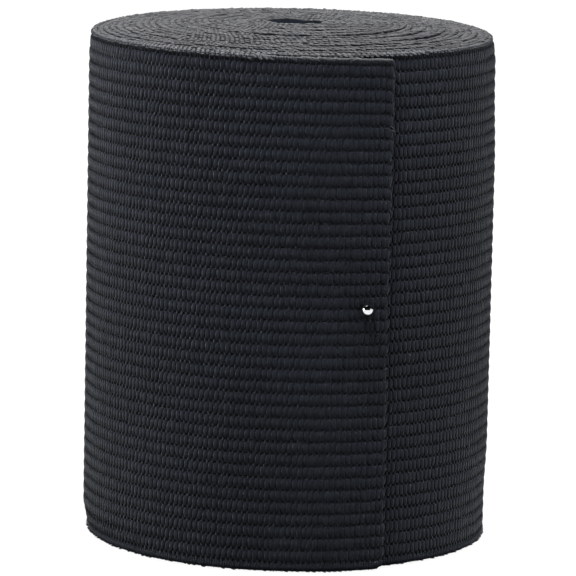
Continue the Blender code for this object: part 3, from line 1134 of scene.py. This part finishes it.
def make_floor():
    """A pale, evenly lit light table, which leaves almost no shadow round the roll."""
    turned = math.tau * np.arange(FLOOR_SIDES) / FLOOR_SIDES
    mesh = bpy.data.meshes.new("studio_floor")
    points = []
    for angle in turned:
        points.append((FLOOR_RADIUS * math.cos(angle), FLOOR_RADIUS * math.sin(angle), FLOOR_HEIGHT))
    mesh.from_pydata(points, [], [list(range(len(points)))])
    floor = add_object("studio_floor", mesh)
    material = bpy.data.materials.new("pale floor")
    material.use_nodes = True
    tree = material.node_tree
    shader = tree.nodes["Principled BSDF"]
    shader.inputs["Base Color"].default_value = FLOOR_COLOUR
    shader.inputs["Roughness"].default_value = 0.9
    shader.inputs["Specular IOR Level"].default_value = 0.0
    shader.inputs["Emission Color"].default_value = (1.0, 1.0, 1.0, 1.0)
    on_cloth = node(tree, "ShaderNodeLightPath").outputs["Is Diffuse Ray"]
    glow = math_node(tree, "MULTIPLY_ADD", on_cloth, FLOOR_BOUNCE - FLOOR_GLOW, FLOOR_GLOW)
    tree.links.new(glow, shader.inputs["Emission Strength"])
    mesh.materials.append(material)


# Each light: where it stands, what it points at, its size in metres, its watts, and whether steel mirrors it
Softbox = namedtuple("Softbox", "name place aim width height power in_reflections")
SOFTBOXES = (
    Softbox("overhead", (0.0, 0.34, 1.0), (0.0, 0.34, 0.0), 2.0, 1.2, 86.0, False),
    Softbox("left", (-1.0, -0.4, 0.14), (0.0, 0.0, 0.05), 0.6, 0.5, 5.5, True),
    Softbox("right", (1.0, -0.3, 0.14), (0.0, 0.0, 0.05), 0.5, 0.4, 0.8, True),
    Softbox("upper right", (0.42, -0.14, 0.44), (0.0, 0.0, 0.09), 0.25, 0.2, 1.35, False),
    Softbox("ceiling", (-0.15, -0.12, 1.0), (0.0, 0.0, 0.05), 0.4, 0.4, 0.5, True),
    Softbox("above the front", (-0.05, -0.15, 0.36), (0.0, -0.03, 0.07), 0.05, 0.05, 1.6, False),
)
ROOM_IN_FRONT = 0.05
ROOM_BEHIND = 0.35


def add_softbox(softbox):
    light = bpy.data.lights.new(softbox.name, "AREA")
    light.shape = "RECTANGLE"
    light.size = softbox.width
    light.size_y = softbox.height
    light.energy = softbox.power
    thing = bpy.data.objects.new(softbox.name, light)
    bpy.context.scene.collection.objects.link(thing)
    thing.location = softbox.place
    pointing_back = Vector(softbox.place) - Vector(softbox.aim)
    thing.rotation_euler = pointing_back.to_track_quat("Z", "Y").to_euler()
    thing.visible_glossy = softbox.in_reflections


def light_the_room():
    """Soft light from above and behind, weaker light from both sides, and a dark room towards the front."""
    for softbox in SOFTBOXES:
        add_softbox(softbox)
    world = bpy.data.worlds.new("studio")
    bpy.context.scene.world = world
    world.use_nodes = True
    tree = world.node_tree
    shade = tree.nodes["Background"]
    around = node(tree, "ShaderNodeTexCoord").outputs["Generated"]
    direction = node(tree, "ShaderNodeSeparateXYZ", Vector=around)
    behind = node(
        tree,
        "ShaderNodeMapRange",
        Value=direction.outputs["Y"],
        From_Min=-0.3,
        From_Max=0.6,
        To_Min=ROOM_IN_FRONT,
        To_Max=ROOM_BEHIND,
    )
    tree.links.new(behind.outputs[0], shade.inputs["Strength"])
    bpy.context.scene.view_settings.view_transform = "Standard"


def place_camera():
    forward = Vector((0.0, math.cos(CAMERA_PITCH), -math.sin(CAMERA_PITCH)))
    right = Vector((1.0, 0.0, 0.0))
    up = right.cross(forward)
    local_x = right * math.cos(CAMERA_ROLL) + up * math.sin(CAMERA_ROLL)
    local_y = up * math.cos(CAMERA_ROLL) - right * math.sin(CAMERA_ROLL)
    data = bpy.data.cameras.new("camera")
    data.sensor_fit = "HORIZONTAL"
    data.sensor_width = SENSOR_WIDTH
    data.lens = CAMERA_LENS
    camera = bpy.data.objects.new("camera", data)
    bpy.context.scene.collection.objects.link(camera)
    turned = Matrix((local_x, local_y, -forward)).transposed().to_4x4()
    camera.matrix_world = Matrix.Translation(CAMERA_PLACE) @ turned
    bpy.context.scene.camera = camera


def make_roll(groups):
    """The strip with its yarns."""
    strip = add_object("elastic_strip", strip_mesh("elastic_strip"))
    for name in ("ground cloth", "selvedge cloth"):
        strip.data.materials.append(yarn_material(name, groups, has_shade=False))
    tree = laid_yarns_tree()
    rib_finish = yarn_material("rib yarn", groups, has_shade=True)
    painted_light_selvedge_finish = yarn_material("selvedge yarn painted light", groups, has_shade=True)
    yarns = make_rib_yarns(tree, rib_finish)
    # The upper loops take the lighter yarn, painted light on the roll's top; the lower loops take the darker
    # rib yarn.
    yarns.append(make_selvedge("upper_selvedge", tree, painted_light_selvedge_finish, at_top=True))
    yarns.append(make_selvedge("lower_selvedge", tree, rib_finish, at_top=False))
    yarns.append(make_cut_yarns(tree, yarn_material("cut yarn", groups, has_shade=True)))
    for piece in [strip] + yarns:
        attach(piece, "root")
    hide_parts("elastic_roll")


def main():
    place_camera()
    make_floor()
    light_the_room()
    make_roll((filament_group(), lint_group(), dye_group()))
    pin = make_pin()
    pin.data.materials.append(steel_material())
    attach(pin, "root")
    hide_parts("pin")


main()
